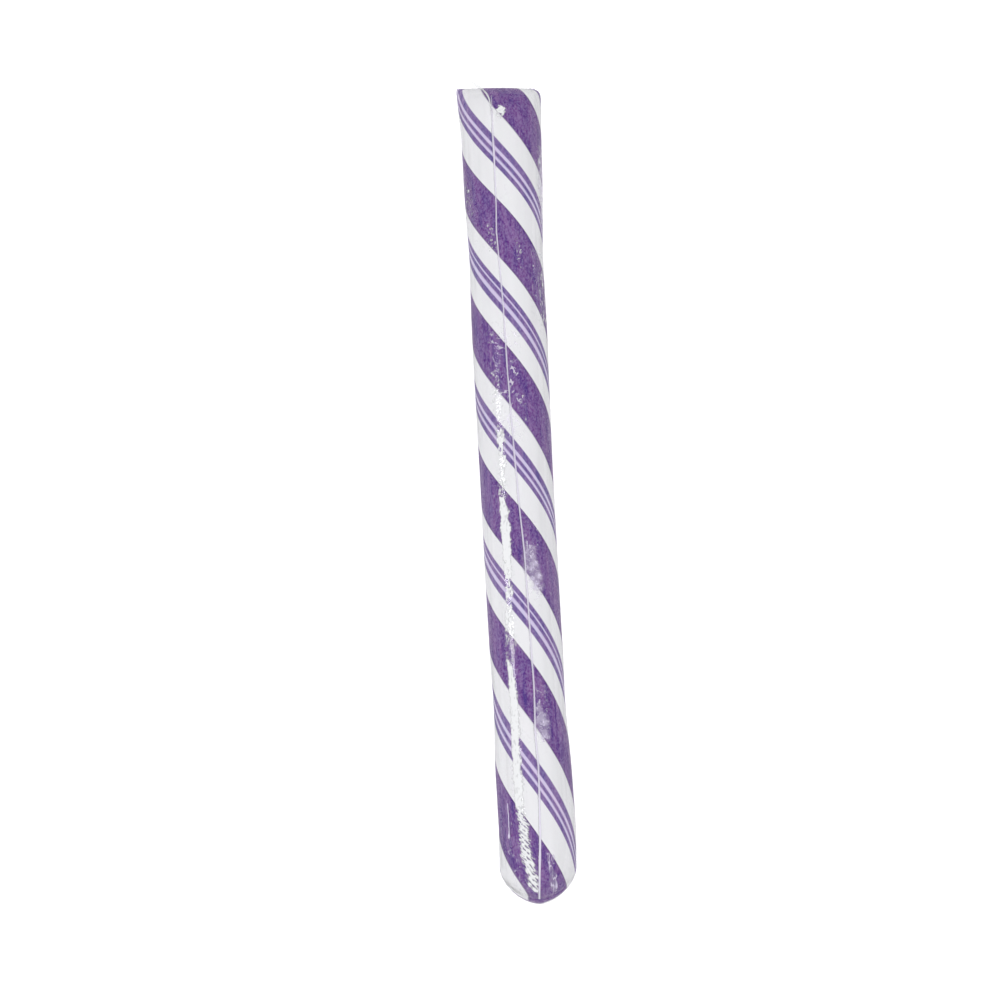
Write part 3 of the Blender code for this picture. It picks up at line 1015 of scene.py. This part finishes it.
CAMERA_TILT = 14.5  # the camera stands this far from straight above, on the foot's side
STICK_LEAN = 2.9  # how far the stick leans in the frame
FRAME_WIDTH = 158.6  # what the camera takes in, across the stick's height above the floor
STICK_RIGHT = 3.08  # where the stick's middle is seen, from the middle of the frame
STICK_ABOVE = 1.22  # and how far above it
LENS = 600.0


def camera():
    data = bpy.data.cameras.new("camera")
    data.lens = LENS
    data.sensor_width = 36.0
    data.clip_end = 50.0
    eye = bpy.data.objects.new("camera", data)
    bpy.context.scene.collection.objects.link(eye)
    tilt = math.radians(CAMERA_TILT)
    heading = Vector((math.cos(math.radians(STICK_LEAN)), -math.sin(math.radians(STICK_LEAN)), 0.0))
    up = Vector((0.0, 0.0, 1.0))
    sight = heading * math.sin(tilt) - up * math.cos(tilt)
    frame_up = heading * math.cos(tilt) + up * math.sin(tilt)
    frame_right = sight.cross(frame_up)
    target = Vector((0.0, 0.0, max(size for _, size in HEIGHTS) / 2.0 - FLAT_DEPTH))
    aim = (target - frame_right * STICK_RIGHT - frame_up * STICK_ABOVE) * MM
    distance = LENS / data.sensor_width * FRAME_WIDTH * MM
    eye.location = aim - sight * distance
    eye.rotation_mode = "QUATERNION"
    eye.rotation_quaternion = Matrix((frame_right, frame_up, -sight)).transposed().to_quaternion()
    bpy.context.scene.camera = eye
    bpy.context.scene.view_settings.view_transform = "Standard"


def softbox(name, place, aim, size, power):
    """A rectangular softbox in metres, that faces a point."""
    data = bpy.data.lights.new(name, "AREA")
    data.shape = "RECTANGLE"
    data.size, data.size_y = size
    data.energy = power
    light = bpy.data.objects.new(name, data)
    bpy.context.scene.collection.objects.link(light)
    light.location = place
    facing = (Vector(place) - Vector(aim)).normalized()
    along = Vector((1.0, 0.0, 0.0))
    along = (along - facing * along.dot(facing)).normalized()
    across = facing.cross(along)
    light.rotation_mode = "QUATERNION"
    light.rotation_quaternion = Matrix((along, across, facing)).transposed().to_quaternion()
    return light


def studio():
    bpy.ops.mesh.primitive_grid_add(x_subdivisions=2, y_subdivisions=2, size=8.0)
    floor = bpy.context.object
    floor.name = "light_table"
    floor.location = (0.0, 0.0, 0.0)
    floor.data.materials.append(light_table_top())

    world = bpy.data.worlds.new("studio_room")
    bpy.context.scene.world = world
    world.use_nodes = True
    background = world.node_tree.nodes["Background"]
    background.inputs["Color"].default_value = linear("#FFFFFF")
    background.inputs["Strength"].default_value = 0.5

    # The overhead box lights the sugar. Only the strip is mirrored in the film, and only along the
    # stick's foot half.
    overhead = softbox("overhead_softbox", (-0.1, 0.075, 0.93), (0.0, 0.0, 0.0), (0.5, 0.5), 6.9)
    strip = softbox("strip_light", (0.033, 0.34, 0.35), (-0.03, 0.0, 0.006), (0.19, 0.08), 0.45)
    overhead.visible_glossy = False
    strip.visible_diffuse = False


def build():
    shift = to_the_solid()
    film = shrink_film()
    # The films' whites stand partly for whitened folds and partly for painted highlights, glints and sheen;
    # the clinging film's lavender white is mostly painted sheen.
    crease = creased_film("creased_polypropylene_film", "#DFE0E2")
    clinging = creased_film("clinging_polypropylene_film", "#D3CAE2")
    lapped = creased_film("lapped_polypropylene_film", "#DDD8E8")
    sugar_stick(shift)
    film_sleeve(shift, film)
    lap_seam(shift, lapped)
    foot_edge(shift, crease)
    head_fold(shift, crease)
    crushed_film(shift, crease)
    film_patch(shift, crease, "film_painted_highlight_band", PAINTED_HIGHLIGHT_BAND, flat_band, 20)
    film_patch(shift, crease, "film_foot_feather", FOOT_FEATHER, slashes, 24)
    film_patch(shift, clinging, "film_foot_lace", FOOT_LACE, lace, 28)
    film_patch(shift, clinging, "film_foot_thread", FOOT_THREAD, flat_band, 30)
    film_patch(shift, clinging, "film_low_painted_sheen", LOW_PAINTED_SHEEN, painted_sheen, 32)
    film_patch(shift, clinging, "film_middle_painted_sheen", MIDDLE_PAINTED_SHEEN, painted_sheen, 38)
    film_patch(shift, crease, "film_low_curls", LOW_CURLS, crinkles, 40)
    film_patch(shift, crease, "film_middle_curls", MIDDLE_CURLS, crinkles, 44)
    film_patch(shift, crease, "film_high_curls", HIGH_CURLS, curls, 48)
    film_patch(shift, crease, "film_upper_curls", UPPER_CURLS, curls, 52)
    film_patch(shift, crease, "film_upper_right_curls", UPPER_RIGHT_CURLS, curls, 72)
    film_patch(shift, crease, "film_right_curls", RIGHT_CURLS, curls, 56)
    film_patch(shift, crease, "film_left_rim_curls", LEFT_RIM_CURLS, curls, 60)
    film_patch(shift, crease, "film_right_rim_streaks", RIGHT_RIM_STREAKS, streaks, 64)
    film_patch(shift, clinging, "film_foot_curls", FOOT_CURLS, curls, 68)
    film_patch(shift, lapped, "film_head_rim_painted_sheen", HEAD_RIM_PAINTED_SHEEN, painted_sheen, 76)
    camera()
    studio()


build()
